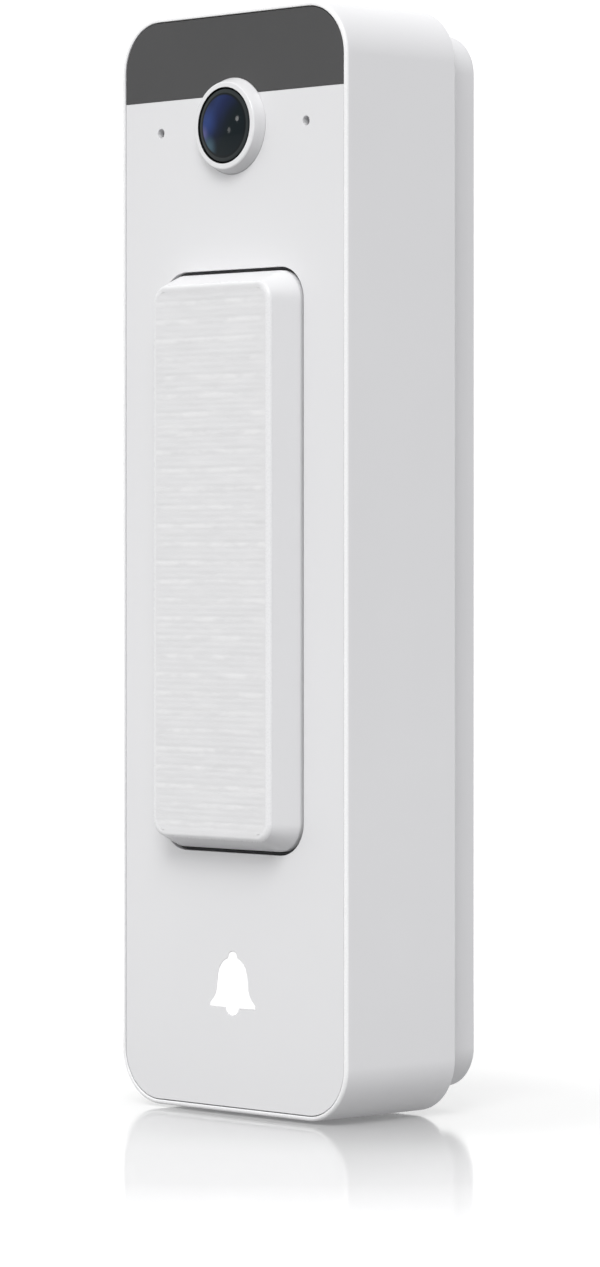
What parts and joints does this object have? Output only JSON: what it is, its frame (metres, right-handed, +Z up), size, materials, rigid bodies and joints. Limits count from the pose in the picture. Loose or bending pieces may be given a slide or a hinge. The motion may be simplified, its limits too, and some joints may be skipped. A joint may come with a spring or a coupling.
{
  "type": "video doorbell",
  "caption": "Slim wall-mounted video doorbell with a large sprung call button, a camera under a tinted window, and a hooked wall bracket locked by a screw.",
  "frame": {"origin": "centre of the bottom of the bounding box", "axes": "+Z up the doorbell, -Y out of its front face towards the visitor, +Y towards the wall, +X to the right as seen from behind the camera axis looking along +Y"},
  "size_m": [0.048, 0.0334, 0.16],
  "materials": {
    "white_shell": "fine satin moulded plastic",
    "front_panel": "smooth satin moulded plastic",
    "window": "infrared-transmitting tinted plastic, satin",
    "collar": "polished plastic",
    "lens_glass": "coated optical glass",
    "cover_glass": "polished cover glass",
    "black_plastic": "matt black",
    "button_plastic": "satin moulded plastic",
    "button_pad": "fine ribbed texture",
    "carrier": "matt",
    "rubber": "matt silicone",
    "light_pipe": "milky translucent plastic",
    "board": "solder mask",
    "steel": "plated",
    "brass": "plain",
    "chip": "moulded epoxy",
    "grey_plastic": "matt",
    "aluminium_can": "drawn can",
    "filter_glass": "coated filter",
    "led_lens": "clear epoxy"
  },
  "bodies": {
    "housing": {"main_housing": "white_shell", "front_panel": "front_panel", "tinted_window": "window", "lens_collar": "collar", "lens_cover_glass": "cover_glass", "lens_barrel": "black_plastic", "front_lens_element": "lens_glass", "rear_lens_element": "lens_glass", "lens_holder": "black_plastic", "image_sensor": "chip", "camera_board": "board", "button_seal": "rubber", "upper_return_spring": "steel", "lower_return_spring": "steel", "upper_switch_body": "chip", "lower_switch_body": "chip", "chassis_frame": "black_plastic", "main_board": "board", "board_screw_lower": "steel", "board_screw_upper": "steel", "shield_can": "steel", "storage_capacitor": "aluminium_can", "reset_switch": "chip", "wifi_antenna": "brass", "terminal_block": "black_plastic", "terminal_screw_left": "brass", "terminal_screw_right": "brass", "sensor_board": "board", "left_infrared_led": "led_lens", "right_infrared_led": "led_lens", "light_sensor": "chip", "left_microphone": "steel", "right_microphone": "steel", "left_microphone_boot": "rubber", "right_microphone_boot": "rubber", "status_light_pipe": "light_pipe", "status_diffuser": "light_pipe", "status_board": "board", "status_led": "led_lens", "speaker_frame": "black_plastic", "speaker_cone": "grey_plastic", "speaker_magnet": "steel", "rear_cover": "white_shell", "rear_gasket": "rubber", "rear_cover_screw_1": "steel", "rear_cover_screw_2": "steel", "rear_cover_screw_3": "steel", "rear_cover_screw_4": "steel"},
    "call_button": {"button_cap": "button_plastic", "button_face_pad": "button_pad", "button_carrier": "carrier"},
    "upper_switch": {"upper_switch_stem": "grey_plastic"},
    "lower_switch": {"lower_switch_stem": "grey_plastic"},
    "filter": {"filter_slide": "grey_plastic", "ir_cut_filter": "filter_glass"},
    "reset": {"reset_button": "grey_plastic"},
    "bracket": {"wall_bracket": "white_shell"},
    "lock_screw": {"security_screw": "steel"}
  },
  "joints": [
    {"name": "call_button_press", "type": "slide", "parent": "housing", "child": "call_button", "axis": [0, 1, 0], "range_m": [0, 0.001], "stiffness_N_per_m": 1600, "springref_m": -0.001, "deforming": ["upper_return_spring", "lower_return_spring"]},
    {"name": "upper_switch_travel", "type": "slide", "parent": "housing", "child": "upper_switch", "axis": [0, 1, 0], "range_m": [0, 0.001]},
    {"name": "lower_switch_travel", "type": "slide", "parent": "housing", "child": "lower_switch", "axis": [0, 1, 0], "range_m": [0, 0.001]},
    {"name": "filter_shift", "type": "slide", "parent": "housing", "child": "filter", "axis": [1, 0, 0], "range_m": [0, 0.0056]},
    {"name": "reset_press", "type": "slide", "parent": "housing", "child": "reset", "axis": [0, -1, 0], "range_m": [0, 0.0006], "stiffness_N_per_m": 500, "springref_m": -0.0005},
    {"name": "bracket_slide", "type": "slide", "parent": "housing", "child": "bracket", "axis": [0, 0, -1], "range_m": [0, 0.006]},
    {"name": "security_screw_travel", "type": "slide", "parent": "housing", "child": "lock_screw", "axis": [0, 0, -1], "range_m": [0, 0.006]}
  ],
  "couplings": [
    {"joint": "upper_switch_travel", "follows": "call_button_press", "ratio": 1},
    {"joint": "lower_switch_travel", "follows": "call_button_press", "ratio": 1},
    {"joint": "security_screw_travel", "follows": "bracket_slide", "ratio": 1}
  ]
}
